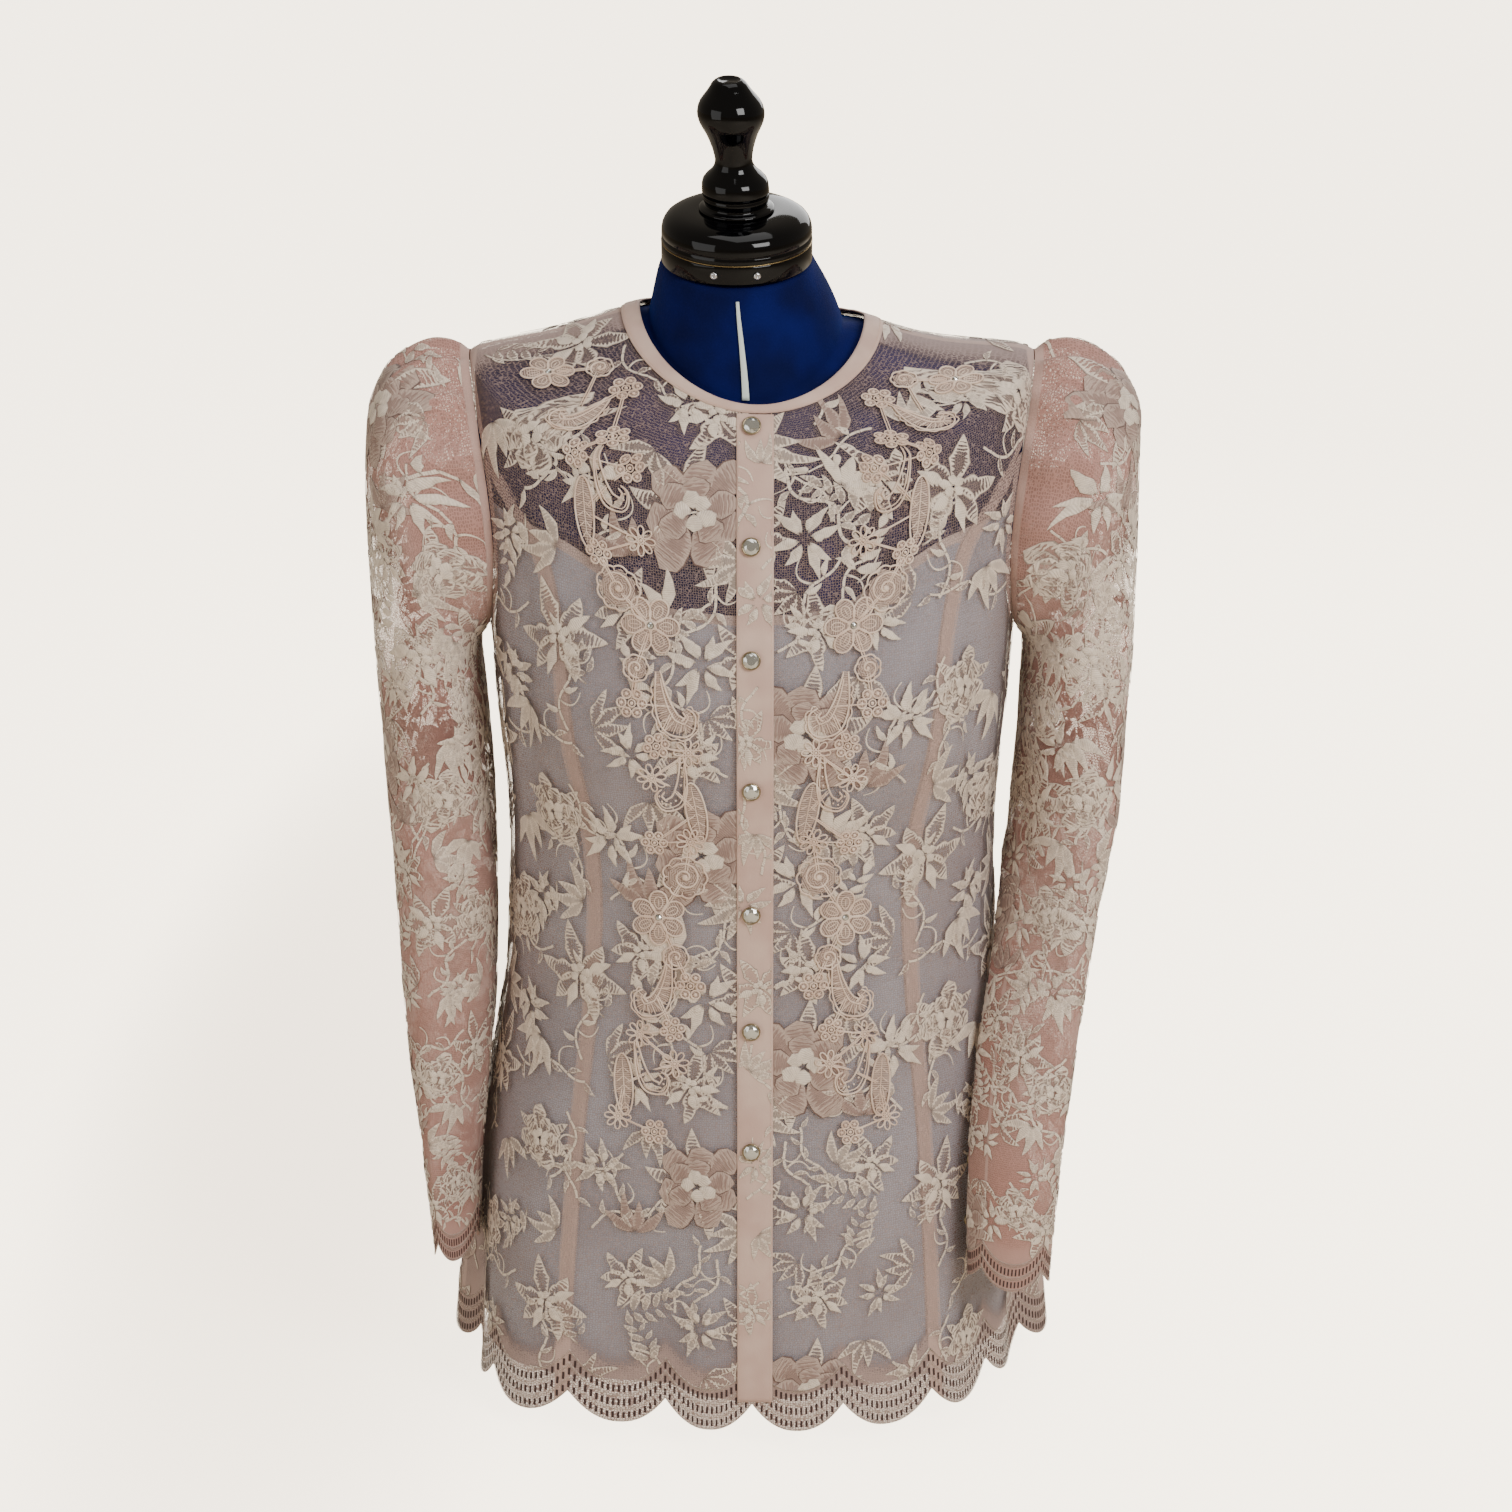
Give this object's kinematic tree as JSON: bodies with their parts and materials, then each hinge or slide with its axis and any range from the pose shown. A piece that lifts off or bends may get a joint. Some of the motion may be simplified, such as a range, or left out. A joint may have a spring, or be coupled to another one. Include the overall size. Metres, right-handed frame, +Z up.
{
  "type": "lace top on a dress form",
  "caption": "Long-sleeved lace top with puff sleeve heads, scalloped hem and cuffs, corded trims and jewel buttons down the front, worn by a limbless table-top dress form.",
  "frame": {"origin": "centre of the dress form's foot, on the surface that it stands on", "axes": "+Z up, the front of the top faces -Y, the wearer's left is +X"},
  "size_m": [0.5175, 0.2845, 0.9262],
  "materials": {
    "lace": "fine net with embroidered flowers, slightly sheer",
    "lining": "smooth thin lining with a soft sheen",
    "band": "matte bias-cut cloth",
    "trim": "corded guipure, matte",
    "jewel": "faceted clear stone with a foil back, in a pale metal cup",
    "form_cloth": "blue felted cover",
    "form_gloss": "high gloss",
    "pale_plastic": "satin",
    "screw_steel": "satin"
  },
  "bodies": {
    "root": {"back": "lace", "front_left": "lace", "front_right": "lace", "side_front_left": "lace", "side_front_right": "lace", "sleeve_left": "lace", "sleeve_right": "lace", "lining_back": "lining", "lining_front_left": "lining", "lining_front_right": "lining", "lining_side_left": "lining", "lining_side_right": "lining", "neck_binding": "band", "button_band": "band", "guipure_trim_left": "trim", "guipure_trim_right": "trim", "form_body": "form_cloth", "neck_ring": "form_gloss", "neck_dome": "form_gloss", "finial": "form_gloss", "form_foot": "form_gloss", "form_gap_strip": "pale_plastic", "cap_screw_1": "screw_steel", "cap_screw_2": "screw_steel", "button_1": "jewel", "button_2": "jewel", "button_3": "jewel", "button_4": "jewel", "button_5": "jewel", "button_6": "jewel", "button_7": "jewel", "cuff_button_left_1": "jewel", "cuff_button_left_2": "jewel", "cuff_button_right_1": "jewel", "cuff_button_right_2": "jewel"}
  },
  "joints": []
}
